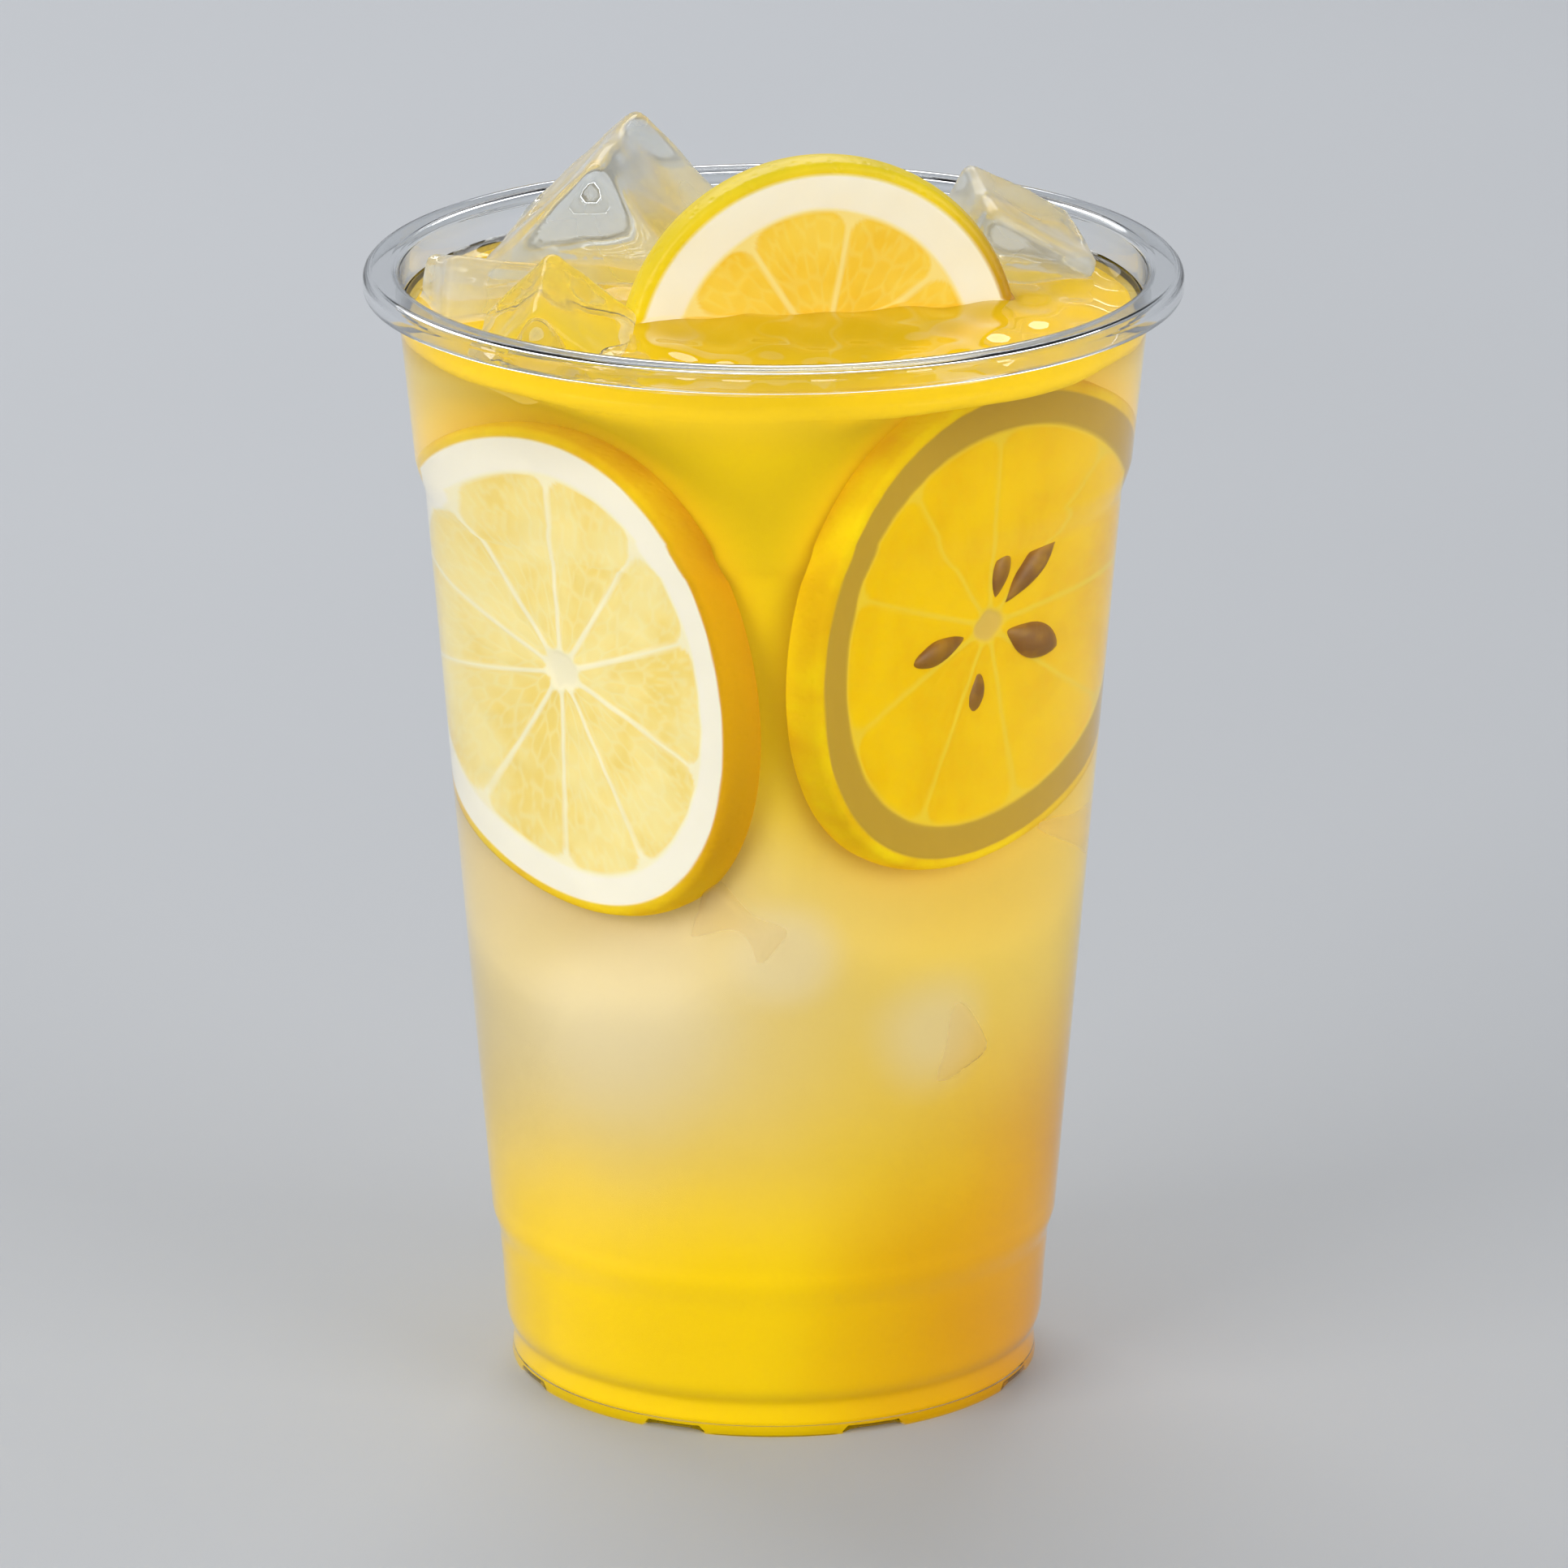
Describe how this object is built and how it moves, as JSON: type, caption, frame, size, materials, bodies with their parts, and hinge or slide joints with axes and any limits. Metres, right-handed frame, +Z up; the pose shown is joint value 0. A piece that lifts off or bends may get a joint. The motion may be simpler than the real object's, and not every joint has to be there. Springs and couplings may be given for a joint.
{
  "type": "glass of lemonade",
  "caption": "Clear tapered cold cup with a rolled lip, filled with cloudy lemonade, floating ice cubes and lemon slices.",
  "frame": {"origin": "centre of the cup's foot, on the surface that it stands on", "axes": "+Z up along the cup's axis; the front, where the two side slices meet, faces -Y"},
  "size_m": [0.0984, 0.0984, 0.151],
  "materials": {
    "clear_cup": "clear thermoformed sheet, smooth and glossy",
    "lemonade": "cloudy pale yellow liquid, clearer and more golden near the top",
    "lemon": "wet lemon: yellow rind, cream pith, translucent juicy flesh in segments",
    "ice": "wet ice with soft edges, fine cracks and a cloudy middle"
  },
  "bodies": {
    "root": {"cup": "clear_cup", "lemonade": "lemonade", "lemon_slice_left": "lemon", "lemon_slice_right": "lemon", "lemon_slice_top": "lemon", "ice_cube_back": "ice", "ice_cube_right": "ice", "ice_cube_left": "ice", "ice_cube_front": "ice"}
  },
  "joints": []
}
